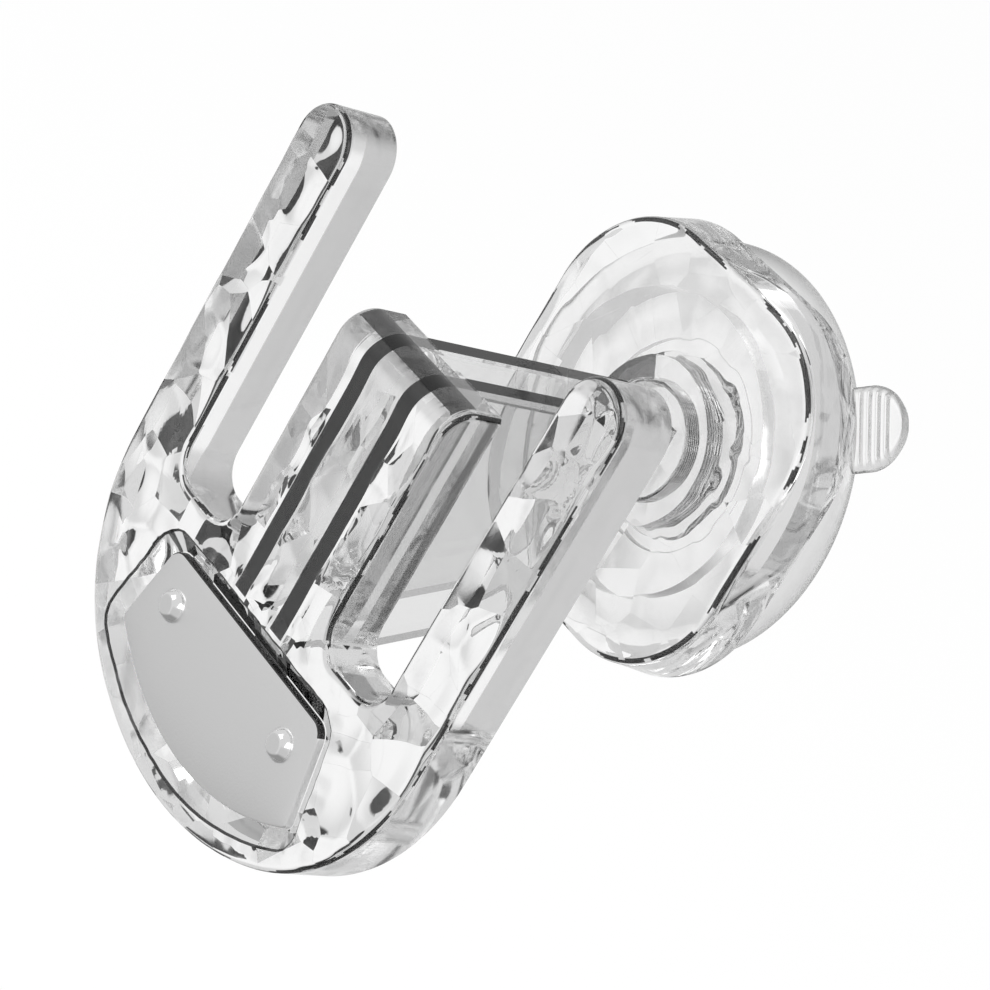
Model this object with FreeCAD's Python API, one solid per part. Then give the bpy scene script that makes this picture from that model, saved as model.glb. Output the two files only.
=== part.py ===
"""Clear wall hook: a rippled U-shaped fork on two braced ribs, a screw-on cover and a suction cup.

Millimetres. The origin is the middle of the cup's wall face. +Z is up, +X is right seen from the
room, and the wall is at y = 0, so that the hook stands out along -Y. A depth is a distance from
the wall.
"""
import FreeCAD, Part
import math
import os

V = FreeCAD.Vector

# Fork plate, in front view
PLATE_HALF_WIDTH = 38.9
PLATE_THICKNESS = 8.4
PRONG_TOP_RISE = 23.0       # from the cup's middle up to the prong tips
PRONG_WIDTH = 11.3
SLOT_WIDTH = 14.7
SLOT_BOTTOM_DROP = 32.5     # from the cup's middle down to the slots' floors
SLOT_CORNER_RADIUS = 4.8
BELLY_HEIGHT = 35.0         # from the slots' floors down to the plate's lowest point
HIP_INSET = 6.9             # between the middle and the centres of the arcs at the hips
BELLY_FLATTENING = 14.0     # how much larger the belly's radius is than the hips'
FRONT_EDGE_RADIUS = 1.6

# Tab and arm
ARM_TOP_RISE = 5.35         # flat top of tab and arm above the cup's middle
TAB_BEND_RADIUS = 4.8       # big rounding from the tab's front to its top
ARM_THICKNESS = 2.0
REACH = 39.0                # clear depth between the fork and the cover

# Ribs
RIB_THICKNESS = 2.86
RIB_SPACING = 9.7           # between the middles of the two ribs
RIB_FRONT_SKIN = 0.8        # clear skin that the tab keeps in front of each rib
RIB_POCKET_GAP = 0.55       # clear material between the grooves and the badge's pocket
RIB_HEEL_STEP = 1.6         # how far the ribs reach below their grooves at the plate's back
RIB_TOE_DROP = 24.6         # lower end of the ribs on the cover

# Badge, its pocket and its rivets
BADGE_TOP_MARGIN = 7.5      # below the slots' floors
BADGE_BOTTOM_MARGIN = 6.2   # above the plate's lowest point
BADGE_ARC_DROP = 7.3        # height of the round part below the straight sides
BADGE_TOP_HALF = 20.3
BADGE_FLARE = 3.1           # how much further out each side stands at its lower end
BADGE_THICKNESS = 1.2
BADGE_TOP_RADIUS = 2.6
BADGE_LOW_RADIUS = 1.0
BADGE_CLEARANCE = 0.15
POCKET_DEPTH = 1.5
POCKET_BEVEL = 3.0
RIVET_SIDE_INSET = 4.95     # from the upper corners of the badge
RIVET_TOP_INSET = 6.5       # from the upper edge of the badge
RIVET_HEAD_RADIUS = 2.4
RIVET_CROWN_RADIUS = 1.5
RIVET_HEAD_HEIGHT = 1.5
RIVET_SHANK_RADIUS = 1.2
RIVET_SHANK_LENGTH = 5.0
RIVET_CLEARANCE = 0.1

# Screw-on cover
COVER_HALF_FRONT = 27.8
COVER_FLARE = 1.2           # how much further out each side stands at the back
COVER_CORNER_RADIUS = 18.7
COVER_THICKNESS = 7.8
COVER_CHAMFER = 1.5
COVER_FRONT_WALL = 3.0
COVER_CAVITY_RADIUS = 21.8
HUB_WALL = 3.4
HUB_FLANGE_GAP = 0.2
BORE_FRONT_SKIN = 2.0
PAD_SINK = 1.2

# Stud, whose thread is left plain
STUD_RADIUS = 8.6
STUD_CLEARANCE = 0.12
STUD_END_GAP = 0.3
FLANGE_RADIUS = 13.0
FLANGE_THICKNESS = 1.4

# Suction cup and its pull tab
CUP_RADIUS = 30.0
CUP_SHOULDER_DEPTH = 4.4
CUP_SHOULDER_OUTER = 28.6
CUP_SEAT_DEPTH = 3.6
CUP_SEAT_RADIUS = 15.0
CUP_LIP_THICKNESS = 0.8
CUP_CONTACT_INNER = 26.5
CUP_HOLLOW_DEPTH = 2.0
CUP_HOLLOW_FLAT_RADIUS = 20.0
PULL_ANGLE = 39.6
PULL_RADIUS = 5.9
PULL_END_REACH = 8.4
PULL_THICKNESS = 1.6
PULL_RIDGE_COUNT = 4
PULL_RIDGE_WIDTH = 0.7
PULL_RIDGE_HEIGHT = 0.5
PULL_RIDGE_PITCH = 1.5
PULL_RIDGE_START = 1.4

# Hammered faces
RIPPLE_SKIM = 0.12          # least depth of the hammered face behind its plane
RIPPLE_DEPTH = 0.26
RIPPLE_LENGTH = 17.0
RIPPLE_WANDER = 2.6         # how far slower waves bend the crests aside
RIPPLE_STEP = 4.6           # between the points that carry the face

# Depths and places that follow from the sizes above
COVER_FRONT = CUP_SHOULDER_DEPTH + COVER_THICKNESS
PLATE_BACK = COVER_FRONT + REACH
PLATE_FRONT = PLATE_BACK + PLATE_THICKNESS
PRONG_INNER = PLATE_HALF_WIDTH - PRONG_WIDTH
TAB_HALF_WIDTH = PRONG_INNER - SLOT_WIDTH
PLATE_BOTTOM_DROP = SLOT_BOTTOM_DROP + BELLY_HEIGHT
HIP_RADIUS = PLATE_HALF_WIDTH - HIP_INSET
BELLY_RADIUS = HIP_RADIUS + BELLY_FLATTENING
PRONG_MIDDLE = PLATE_HALF_WIDTH - PRONG_WIDTH / 2
TIP_CENTRE_RISE = PRONG_TOP_RISE - PRONG_WIDTH / 2
RIB_INNER = (RIB_SPACING - RIB_THICKNESS) / 2
RIB_OUTER = (RIB_SPACING + RIB_THICKNESS) / 2
BADGE_TOP_DROP = SLOT_BOTTOM_DROP + BADGE_TOP_MARGIN
BADGE_BOTTOM_DROP = PLATE_BOTTOM_DROP - BADGE_BOTTOM_MARGIN
BADGE_CORNER_DROP = BADGE_BOTTOM_DROP - BADGE_ARC_DROP
BADGE_CORNER_HALF = BADGE_TOP_HALF + BADGE_FLARE
RIVET_X = BADGE_TOP_HALF - RIVET_SIDE_INSET
RIVET_DROP = BADGE_TOP_DROP + RIVET_TOP_INSET
RIB_GROOVE_DROP = BADGE_TOP_DROP - BADGE_CLEARANCE - POCKET_BEVEL - RIB_POCKET_GAP
RIB_HEEL_DROP = RIB_GROOVE_DROP + RIB_HEEL_STEP
POCKET_FLOOR = PLATE_FRONT - POCKET_DEPTH
BADGE_FACE = POCKET_FLOOR + BADGE_THICKNESS
CAVITY_FLOOR = COVER_FRONT - COVER_FRONT_WALL
BORE_FLOOR = COVER_FRONT - BORE_FRONT_SKIN
FLANGE_TOP = CUP_SEAT_DEPTH + FLANGE_THICKNESS
OVERSHOOT = 5.0             # how far cutting tools run past what they cut


def at(x, depth, z):
    """Point at a distance from the wall."""
    return V(x, -depth, z)


def line(a, b):
    return Part.LineSegment(a, b).toShape()


def arc(a, middle, b):
    return Part.Arc(a, middle, b).toShape()


def mirrored(shape):
    return shape.mirror(V(0, 0, 0), V(1, 0, 0))


def prism(edges, depth_back, depth_front):
    """Solid between two depths, from front-view edges that lie at depth 0."""
    wire = Part.Wire(Part.__sortEdges__(edges))
    face = Part.Face(wire)
    face.translate(at(0, depth_back, 0))
    return face.extrude(at(0, depth_front - depth_back, 0))


def block(half_width, depth_back, depth_front, z_low, z_high):
    return Part.makeBox(2 * half_width, depth_front - depth_back, z_high - z_low,
                        at(-half_width, depth_front, z_low))


def barrel(radius, depth_back, depth_front, x=0.0, z=0.0):
    """Cylinder square to the wall, between two depths."""
    return Part.makeCylinder(radius, depth_front - depth_back, at(x, depth_back, z), V(0, -1, 0))


def corner_arc(centre_x, centre_z, radius, start, end):
    """Arc in front view between two angles in degrees."""
    points = []
    for angle in (start, (start + end) / 2, end):
        turn = math.radians(angle)
        points.append(at(centre_x + radius * math.cos(turn), 0, centre_z + radius * math.sin(turn)))
    return arc(*points)


def edges_at_depth(solid, depth):
    """Edges that lie wholly in the plane at one depth."""
    return [edge for edge in solid.Edges
            if all(abs(-vertex.Y - depth) < 1e-6 for vertex in edge.Vertexes)
            and abs(-edge.CenterOfMass.y - depth) < 1e-6]


def ripple_height(x, z):
    """Hammered relief between 0 and 1: two crossing waves, bent aside by slower ones."""
    wave = 2 * math.pi / RIPPLE_LENGTH
    across = wave * (x + RIPPLE_WANDER * math.sin(0.4 * wave * z + 0.7))
    along = wave * (z + RIPPLE_WANDER * math.sin(0.5 * wave * x + 1.9))
    relief = math.sin(across) * math.sin(0.8 * along) + 0.5 * math.sin(0.6 * (across + along) + 2.1)
    return 0.5 + relief / 3


def ripple_cutter(depth, half_width, z_low, z_high):
    """Everything in front of the hammered face that belongs to the plane at a depth."""
    columns = max(4, math.ceil(2 * half_width / RIPPLE_STEP))
    rows = max(4, math.ceil((z_high - z_low) / RIPPLE_STEP))
    grid = []
    for i in range(columns + 1):
        x = -half_width + 2 * half_width * i / columns
        column = []
        for j in range(rows + 1):
            z = z_low + (z_high - z_low) * j / rows
            column.append(at(x, depth - RIPPLE_SKIM - RIPPLE_DEPTH * ripple_height(x, z), z))
        grid.append(column)
    sheet = Part.BSplineSurface()
    sheet.interpolate(grid)
    return sheet.toShape().extrude(at(0, OVERSHOOT, 0))


def fork_outline(tab_top):
    """Front-view edges of the fork: round bottom, two prongs, two slots and the tab."""
    bottom = -PLATE_BOTTOM_DROP
    slot_floor = -SLOT_BOTTOM_DROP
    belly_centre = bottom + BELLY_RADIUS
    hip_x = PLATE_HALF_WIDTH - HIP_RADIUS
    between = BELLY_RADIUS - HIP_RADIUS
    hip_z = belly_centre - math.sqrt(between ** 2 - hip_x ** 2)
    lean = math.degrees(math.atan2(hip_z - belly_centre, hip_x))
    inner = PRONG_INNER
    radius = SLOT_CORNER_RADIUS
    half = [
        corner_arc(0, belly_centre, BELLY_RADIUS, -90, lean),
        corner_arc(hip_x, hip_z, HIP_RADIUS, lean, 0),
        line(at(PLATE_HALF_WIDTH, 0, hip_z), at(PLATE_HALF_WIDTH, 0, TIP_CENTRE_RISE)),
        corner_arc(PRONG_MIDDLE, TIP_CENTRE_RISE, PRONG_WIDTH / 2, 0, 180),
        line(at(inner, 0, TIP_CENTRE_RISE), at(inner, 0, slot_floor + radius)),
        corner_arc(inner - radius, slot_floor + radius, radius, 0, -90),
        line(at(inner - radius, 0, slot_floor), at(TAB_HALF_WIDTH + radius, 0, slot_floor)),
        corner_arc(TAB_HALF_WIDTH + radius, slot_floor + radius, radius, -90, -180),
        line(at(TAB_HALF_WIDTH, 0, slot_floor + radius), at(TAB_HALF_WIDTH, 0, tab_top)),
    ]
    crossing = line(at(TAB_HALF_WIDTH, 0, tab_top), at(-TAB_HALF_WIDTH, 0, tab_top))
    return half + [mirrored(edge) for edge in half] + [crossing]


def tab_top_block(z_low):
    """Upper end of the tab, with the big rounding from its front to its top."""
    top = block(TAB_HALF_WIDTH, PLATE_BACK, PLATE_FRONT, z_low, ARM_TOP_RISE)
    bend = [edge for edge in edges_at_depth(top, PLATE_FRONT)
            if abs(edge.CenterOfMass.z - ARM_TOP_RISE) < 1e-6]
    top = top.makeFillet(TAB_BEND_RADIUS, bend)
    sides = []
    for edge in top.Edges:
        centre = edge.CenterOfMass
        on_side = all(abs(abs(v.X) - TAB_HALF_WIDTH) < 1e-6 for v in edge.Vertexes)
        if on_side and abs(abs(centre.x) - TAB_HALF_WIDTH) < 1e-6:
            if -centre.y > PLATE_BACK + 1e-6 and centre.z > z_low + 1e-6:
                sides.append(edge)
    return top.makeFillet(FRONT_EDGE_RADIUS, sides)


def badge_outline(margin):
    """Front-view edges of the badge, grown all round by a margin."""
    top = -BADGE_TOP_DROP
    outline = [
        line(at(-BADGE_TOP_HALF, 0, top), at(BADGE_TOP_HALF, 0, top)),
        line(at(BADGE_TOP_HALF, 0, top), at(BADGE_CORNER_HALF, 0, -BADGE_CORNER_DROP)),
        arc(at(BADGE_CORNER_HALF, 0, -BADGE_CORNER_DROP),
            at(0, 0, -BADGE_BOTTOM_DROP),
            at(-BADGE_CORNER_HALF, 0, -BADGE_CORNER_DROP)),
        line(at(-BADGE_CORNER_HALF, 0, -BADGE_CORNER_DROP), at(-BADGE_TOP_HALF, 0, top)),
    ]
    wire = Part.Wire(Part.__sortEdges__(outline))
    if margin > 0:
        wire = wire.makeOffset2D(margin)
    return wire


def upright_edges(solid, half_width):
    """Edges square to the wall that stand at one distance to either side of the middle."""
    return [edge for edge in solid.Edges
            if abs(abs(edge.CenterOfMass.x) - half_width) < 1e-6
            and all(abs(abs(vertex.X) - half_width) < 1e-6 for vertex in edge.Vertexes)]


def badge_plate():
    """Badge blank with its corners rounded."""
    face = Part.Face(badge_outline(0))
    face.translate(at(0, POCKET_FLOOR, 0))
    plate = face.extrude(at(0, BADGE_THICKNESS, 0))
    plate = plate.makeFillet(BADGE_TOP_RADIUS, upright_edges(plate, BADGE_TOP_HALF))
    return plate.makeFillet(BADGE_LOW_RADIUS, upright_edges(plate, BADGE_CORNER_HALF))


def pocket_cutter():
    """Pocket with sloping walls: wide at the plate's face, a close fit round the badge."""
    low = badge_outline(BADGE_CLEARANCE)
    low.translate(at(0, POCKET_FLOOR, 0))
    wide = badge_outline(BADGE_CLEARANCE + POCKET_BEVEL)
    wide.translate(at(0, PLATE_FRONT, 0))
    beyond = badge_outline(BADGE_CLEARANCE + POCKET_BEVEL)
    beyond.translate(at(0, PLATE_FRONT + OVERSHOOT, 0))
    slope = Part.makeLoft([low, wide], True, True)
    mouth = Part.makeLoft([wide, beyond], True, True)
    return slope.fuse(mouth)


def rib_profile():
    """Side-view wire of a rib, from just behind the tab's face to the cover, at x = 0."""
    face = PLATE_FRONT - RIB_FRONT_SKIN
    bend = TAB_BEND_RADIUS - RIB_FRONT_SKIN
    bend_z = ARM_TOP_RISE - TAB_BEND_RADIUS
    bend_depth = PLATE_FRONT - TAB_BEND_RADIUS
    diagonal = bend * math.sqrt(0.5)
    corners = [
        at(0, bend_depth, bend_z + bend),
        at(0, PLATE_BACK, bend_z + bend),
        at(0, PLATE_BACK, ARM_TOP_RISE),
        at(0, COVER_FRONT, ARM_TOP_RISE),
        at(0, COVER_FRONT, -RIB_TOE_DROP),
        at(0, PLATE_BACK, -RIB_HEEL_DROP),
        at(0, PLATE_BACK, -RIB_GROOVE_DROP),
        at(0, face, -RIB_GROOVE_DROP),
        at(0, face, bend_z),
    ]
    edges = [line(a, b) for a, b in zip(corners, corners[1:])]
    edges.append(arc(corners[-1], at(0, bend_depth + diagonal, bend_z + diagonal), corners[0]))
    return Part.Wire(edges)


def rib(side):
    """One rib plate, on the left (-1) or the right (1)."""
    face = Part.Face(rib_profile())
    face.translate(V(side * RIB_SPACING / 2 - RIB_THICKNESS / 2, 0, 0))
    return face.extrude(V(RIB_THICKNESS, 0, 0))


def rivet_bore(side, clearance):
    """Straight hole for a rivet's shank, on the left (-1) or the right (1)."""
    return barrel(RIVET_SHANK_RADIUS + clearance, BADGE_FACE - RIVET_SHANK_LENGTH,
                  PLATE_FRONT + OVERSHOOT, side * RIVET_X, -RIVET_DROP)


def hook_body():
    """Clear fork with its tab and arm, grooved at the back for the ribs."""
    joint_z = ARM_TOP_RISE - TAB_BEND_RADIUS - OVERSHOOT
    fork = prism(fork_outline(joint_z), PLATE_BACK, PLATE_FRONT)
    front = [edge for edge in edges_at_depth(fork, PLATE_FRONT)
             if abs(edge.CenterOfMass.z - joint_z) > 1e-6]
    fork = fork.makeFillet(FRONT_EDGE_RADIUS, front)
    fork = fork.fuse(tab_top_block(joint_z))
    fork = fork.cut(ripple_cutter(PLATE_FRONT, PLATE_HALF_WIDTH + OVERSHOOT,
                                  -PLATE_BOTTOM_DROP - OVERSHOOT, PRONG_TOP_RISE + OVERSHOOT))
    fork = fork.cut(pocket_cutter())
    arm = block(RIB_INNER, COVER_FRONT, PLATE_BACK, ARM_TOP_RISE - ARM_THICKNESS, ARM_TOP_RISE)
    fork = fork.fuse(arm)
    for side in (-1, 1):
        fork = fork.cut(rib(side))
        fork = fork.cut(rivet_bore(side, 0))
    return fork.removeSplitter()


def name_plate():
    """Bare badge with two rivet holes."""
    plate = badge_plate()
    for side in (-1, 1):
        plate = plate.cut(rivet_bore(side, RIVET_CLEARANCE))
    return plate


def rivet(side):
    """Rivet with a cone-sided head on the badge and a shank in the plate."""
    head = Part.makeCone(RIVET_HEAD_RADIUS, RIVET_CROWN_RADIUS, RIVET_HEAD_HEIGHT,
                         at(side * RIVET_X, BADGE_FACE, -RIVET_DROP), V(0, -1, 0))
    shank = barrel(RIVET_SHANK_RADIUS, BADGE_FACE - RIVET_SHANK_LENGTH, BADGE_FACE,
                   side * RIVET_X, -RIVET_DROP)
    return head.fuse(shank).removeSplitter()


def square_wire(half, radius, depth):
    """Rounded square about the cup's middle, at a depth."""
    flat = half - radius
    edges = []
    for step in range(4):
        start = 90 * step
        turn = math.radians(start + 45)
        centre_x = flat * math.copysign(1, math.cos(turn))
        centre_z = flat * math.copysign(1, math.sin(turn))
        edges.append(corner_arc(centre_x, centre_z, radius, start, start + 90))
    edges += [
        line(at(half, 0, -flat), at(half, 0, flat)),
        line(at(-flat, 0, half), at(flat, 0, half)),
        line(at(-half, 0, flat), at(-half, 0, -flat)),
        line(at(-flat, 0, -half), at(flat, 0, -half)),
    ]
    wire = Part.Wire(Part.__sortEdges__(edges))
    wire.translate(at(0, depth, 0))
    return wire


def base_cover():
    """Rounded-square cover: hammered front, round hollow behind and a hub for the stud."""
    back = square_wire(COVER_HALF_FRONT + COVER_FLARE, COVER_CORNER_RADIUS + COVER_FLARE,
                       CUP_SHOULDER_DEPTH)
    front = square_wire(COVER_HALF_FRONT, COVER_CORNER_RADIUS, COVER_FRONT)
    shell = Part.makeLoft([back, front], True, True)
    shell = shell.makeChamfer(COVER_CHAMFER, edges_at_depth(shell, COVER_FRONT))
    reach = COVER_HALF_FRONT + OVERSHOOT
    shell = shell.cut(ripple_cutter(COVER_FRONT, reach, -reach, reach))
    pad = block(RIB_OUTER, COVER_FRONT - PAD_SINK, COVER_FRONT, -RIB_TOE_DROP, ARM_TOP_RISE)
    hollow = barrel(COVER_CAVITY_RADIUS, CUP_SHOULDER_DEPTH - OVERSHOOT, CAVITY_FLOOR)
    hub = barrel(STUD_RADIUS + HUB_WALL, FLANGE_TOP + HUB_FLANGE_GAP, CAVITY_FLOOR)
    bore = barrel(STUD_RADIUS + STUD_CLEARANCE, FLANGE_TOP, BORE_FLOOR)
    return shell.fuse(pad).cut(hollow).fuse(hub).cut(bore).removeSplitter()


def clamp_stud():
    """Stud on a round flange, which the cover clamps on the cup."""
    flange = barrel(FLANGE_RADIUS, CUP_SEAT_DEPTH, FLANGE_TOP)
    stem = barrel(STUD_RADIUS, FLANGE_TOP, BORE_FLOOR - STUD_END_GAP)
    return flange.fuse(stem).removeSplitter()


def pull_tab():
    """Ribbed tongue that lifts the cup's edge, drawn along +X."""
    centre = CUP_RADIUS + PULL_END_REACH - PULL_RADIUS
    edges = [
        corner_arc(centre, 0, PULL_RADIUS, -90, 90),
        line(at(centre, 0, PULL_RADIUS), at(CUP_CONTACT_INNER, 0, PULL_RADIUS)),
        line(at(CUP_CONTACT_INNER, 0, PULL_RADIUS), at(CUP_CONTACT_INNER, 0, -PULL_RADIUS)),
        line(at(CUP_CONTACT_INNER, 0, -PULL_RADIUS), at(centre, 0, -PULL_RADIUS)),
    ]
    tongue = prism(edges, 0, PULL_THICKNESS)
    for step in range(PULL_RIDGE_COUNT):
        x = CUP_RADIUS + PULL_RIDGE_START + step * PULL_RIDGE_PITCH
        offset = x + PULL_RIDGE_WIDTH / 2 - centre
        half = math.sqrt(PULL_RADIUS ** 2 - max(0.0, offset) ** 2) - PULL_RIDGE_WIDTH
        ridge = Part.makeBox(PULL_RIDGE_WIDTH, PULL_RIDGE_HEIGHT + PULL_THICKNESS / 2, 2 * half,
                             at(x - PULL_RIDGE_WIDTH / 2, PULL_THICKNESS + PULL_RIDGE_HEIGHT, -half))
        tongue = tongue.fuse(ridge)
    return tongue.removeSplitter()


def suction_cup():
    """Soft cup: a thin lip, a shoulder that the cover presses on and a shallow hollow."""
    corners = [
        at(0, 0, 0),
        at(0, CUP_SEAT_DEPTH, 0),
        at(CUP_SEAT_RADIUS, CUP_SEAT_DEPTH, 0),
        at(CUP_SEAT_RADIUS, CUP_SHOULDER_DEPTH, 0),
        at(CUP_SHOULDER_OUTER, CUP_SHOULDER_DEPTH, 0),
        at(CUP_RADIUS, CUP_LIP_THICKNESS, 0),
        at(CUP_RADIUS, 0, 0),
        at(0, 0, 0),
    ]
    disc = Part.Face(Part.makePolygon(corners)).revolve(V(0, 0, 0), V(0, 1, 0), 360)
    hollow = Part.makeCone(CUP_CONTACT_INNER, CUP_HOLLOW_FLAT_RADIUS, CUP_HOLLOW_DEPTH,
                           at(0, 0, 0), V(0, -1, 0))
    tongue = pull_tab()
    tongue.rotate(V(0, 0, 0), V(0, 1, 0), -PULL_ANGLE)
    return disc.cut(hollow).fuse(tongue).removeSplitter()


def main():
    os.makedirs("parts", exist_ok=True)
    nodes = {
        "hook_body": hook_body(),
        "rib_left": rib(-1),
        "rib_right": rib(1),
        "name_plate": name_plate(),
        "rivet_left": rivet(-1),
        "rivet_right": rivet(1),
        "base_cover": base_cover(),
        "clamp_stud": clamp_stud(),
        "suction_cup": suction_cup(),
    }
    for name, shape in nodes.items():
        shape.exportStep("parts/" + name + ".step")
        print(name, len(shape.Solids), "solids", round(shape.Volume), "mm3", shape.isValid())


main()
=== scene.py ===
"""Looks of a clear suction cup hook: hammered fork, braced arm, satin badge, round cover and cup.

Shapes are worked out in millimetres and turned into metres when a mesh is made. The frame is the
CAD model's: the wall is at y = 0, a depth is a distance from it, +Z is up and +X is right.
"""
import math
import random

import bmesh
import bpy
import numpy as np
from mathutils import Matrix, Vector
from mathutils.geometry import delaunay_2d_cdt


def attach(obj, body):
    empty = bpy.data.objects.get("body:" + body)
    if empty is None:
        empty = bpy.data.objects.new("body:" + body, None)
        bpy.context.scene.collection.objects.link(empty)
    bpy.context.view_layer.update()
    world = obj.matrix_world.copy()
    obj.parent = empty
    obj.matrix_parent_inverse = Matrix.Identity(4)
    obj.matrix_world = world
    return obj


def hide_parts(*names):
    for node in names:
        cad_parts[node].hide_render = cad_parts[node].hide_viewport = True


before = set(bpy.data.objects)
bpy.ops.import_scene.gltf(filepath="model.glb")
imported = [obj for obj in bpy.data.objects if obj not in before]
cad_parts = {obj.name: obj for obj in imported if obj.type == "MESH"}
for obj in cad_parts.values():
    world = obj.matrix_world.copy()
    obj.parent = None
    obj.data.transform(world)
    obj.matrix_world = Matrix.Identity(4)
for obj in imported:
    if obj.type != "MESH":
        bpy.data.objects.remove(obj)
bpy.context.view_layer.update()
scene = bpy.context.scene
MM = 0.001

# Fork plate
HALF_WIDTH = 38.9
PLATE_BACK = 51.2
PLATE_FRONT = 60.2
TIP_RISE = 23.0
PRONG_WIDTH = 11.3
TAB_HALF = 12.9
SLOT_FLOOR = -32.5
SLOT_RADIUS = 4.8
BOTTOM = -67.5
BELLY_RADIUS = 46.0
HIP_RADIUS = 32.0
EDGE_RADIUS = 1.1
EDGE_STEPS = 7
EDGE_SHADE_RINGS = (3, 4, 5)     # steps of the rounded edge that carry its dark line of painted shade
WALL_LIP = 0.15         # plain wall below the rounded edge
BESIDE_TAB = TAB_HALF + 1.0     # within this, what is above the bend belongs to the tab
ARM_TOP = 5.35
ARM_THICKNESS = 2.0
BEND_RADIUS = 4.8
ARM_SEAT = 0.06         # air between the arm's root and each rib

# Ribs
RIB_INNER = 3.42
RIB_OUTER = 6.28
RIB_MIDDLE = (RIB_INNER + RIB_OUTER) / 2
RIB_SKIN = 0.5
RIB_GROOVE = -36.3
RIB_HEEL = -37.9
RIB_TOE = -24.6
RIB_DARK_END = 27.6     # the dark edge ends here, near the cover
RIB_BEND_PIECES = 12
GROOVE_AIR = 0.04       # on each side of a rib in its groove

# Badge and pocket
POCKET_FLOOR = 58.1
POCKET_BEVEL = 3.0
POCKET_SHADE_LINE = 0.12      # share of the bevel that its dark line of painted shade takes
BADGE_THICKNESS = 1.2
BADGE_CORNERS = ((20.3, -40.0), (23.4, -54.0))
BADGE_BOTTOM = -61.3
BADGE_RADII = (2.6, 1.0)
BADGE_ARC_PIECES = 48
BADGE_GAP = 0.15
BADGE_EDGE = 0.22
BADGE_EDGE_BOW = 0.3    # share of the edge that its middle is set in
BADGE_FACES_UP = 0.4    # how far an edge faces up where it gets painted shade
RIVET_X = 15.35
RIVET_Z = -46.5
RIVET_COUNT = 64
RIVET_SECTION = (       # radius, and height over the badge
    (1.2, -5.0), (1.2, -0.05), (2.4, -0.02), (2.4, 0.25),
    (2.25, 0.5), (1.75, 1.2), (1.5, 1.42), (1.15, 1.5),
)

# Cover
COVER_FRONT = 12.7
COVER_HALF = 27.8
COVER_FLARE = 1.2
COVER_CORNER = 18.7
COVER_EDGE = 1.3
COVER_LIP = 0.2         # plain wall behind the rounded edge
COVER_EDGE_STEPS = 8
# steps of the cover's rounded edge that carry a dark line of painted shade
COVER_SHADE_RINGS = (5, 6, 7)
COVER_LAYERS = 34       # rings of faces between the rim and the middle
COVER_COUNT = 288
COVER_BACK = 4.4
CAVITY_RADIUS = 21.8
CAVITY_FLOOR = 9.2
HUB_RADIUS = 12.0
BORE_FLOOR = 10.2
BORE_AIR = 0.12

# Stud
STUD_RADIUS = 8.6
THREAD_DEPTH = 0.6
THREAD_PITCH = 0.75
THREAD_STEPS = 10       # rings to one turn
THREAD_DARK = 0.3       # share of a turn that gets painted shade
THREAD_FLANK = 1.5
THREAD_ROOT = 0.25
FLANGE_RADIUS = 13.0
FLANGE_BACK = 3.6
FLANGE_TOP = 5.0
BORE_MOUTH = FLANGE_TOP + 0.2
STUD_TOP = BORE_FLOOR - 0.3
ROUND_COUNT = 192

# Cup and pull tab
CUP_RADIUS = 30.0
CUP_HOLLOW = 2.0
CUP_SEAT = 3.6
CUP_SECTION = (         # radius and depth, from the hollow round the rim to the flange's seat
    (20.0, 1.97), (26.3, 0.12), (26.6, 0.0), (29.8, 0.0), (CUP_RADIUS, 0.15), (CUP_RADIUS, 0.65),
    (29.93, 0.85), (28.75, 4.15), (28.6, 4.33), (28.3, 4.37), (15.2, 4.37), (15.0, 4.2),
    (15.0, CUP_SEAT),
)
PULL_HALF = 5.9
PULL_REACH = 8.4
PULL_ENDS = (29.4, 38.35)
PULL_ROWS = 72
PULL_LANES = 25
PULL_THICKNESS = 1.55
PULL_LEAST_HALF = 0.04  # squared, at the round end
PULL_TURN = 39.6
PULL_RIM = 0.999        # share of the half width beyond which the rim begins
PULL_RIM_RISE = 1.2
PULL_RIM_LIP = 0.3
PULL_BACK = 0.02        # air between the tab and the wall
PULL_CROWN = (0.55, 0.45)       # height at the sides, and what the middle adds
RIDGE_COUNT = 4
RIDGE_START = 31.4
RIDGE_PITCH = 1.5
RIDGE_HEIGHT = 0.55
RIDGE_HALF = 0.33
RIDGE_REACH = 0.86      # share of the half width that the ridges cover

# Ripples: a field of round dimples that covers fork and cover
FIELD_X = (-48.0, 48.0)
FIELD_Z = (-84.0, 44.0)
ROW_PITCH = 0.87        # of a triangular grid, in cells
DIMPLE_SHIFT = 0.36     # in cells, either way
BOWL_SPREAD = (0.55, 1.6)
FLOOR_SPREAD = 0.12
RIDGE_SOFTNESS = 0.03
RIPPLE_CELL = 9.0
RIPPLE_SEED = 5
RIPPLE_BOWL = 0.027     # curvature of the dimples
RIPPLE_DEPTH = 0.85
RIDGE_RISE = 0.2
RIB_CALM_FADE = 1.4     # width over which the ripples die down beside a rib
RIB_CALM_REACH = 1.7    # where they are whole, in fades from the rib's middle
RIB_CALM_MOST = 0.9     # share of the ripples that is taken off over a rib
GROOVE_CALM = 1.0       # how far below a rib's groove the calm goes on
BEND_CALM = 0.5         # plain strip below the bend
BEND_CALM_FADE = 3.0
POCKET_CALM = 0.75      # share of the ripples that is taken off at the pocket
POCKET_CALM_REACH = 3.0
EDGE_CALM = 0.8
EDGE_CALM_REACH = 4.0
COVER_CELL = 9.5
COVER_SEED = 11
COVER_BOWL = 0.012
COVER_RIPPLE = 0.4
COVER_SHIFT = (3, -30)  # the cover lies on another place of the field
PAD_FADE = 1.5          # beside the ribs' seats on the cover

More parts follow.
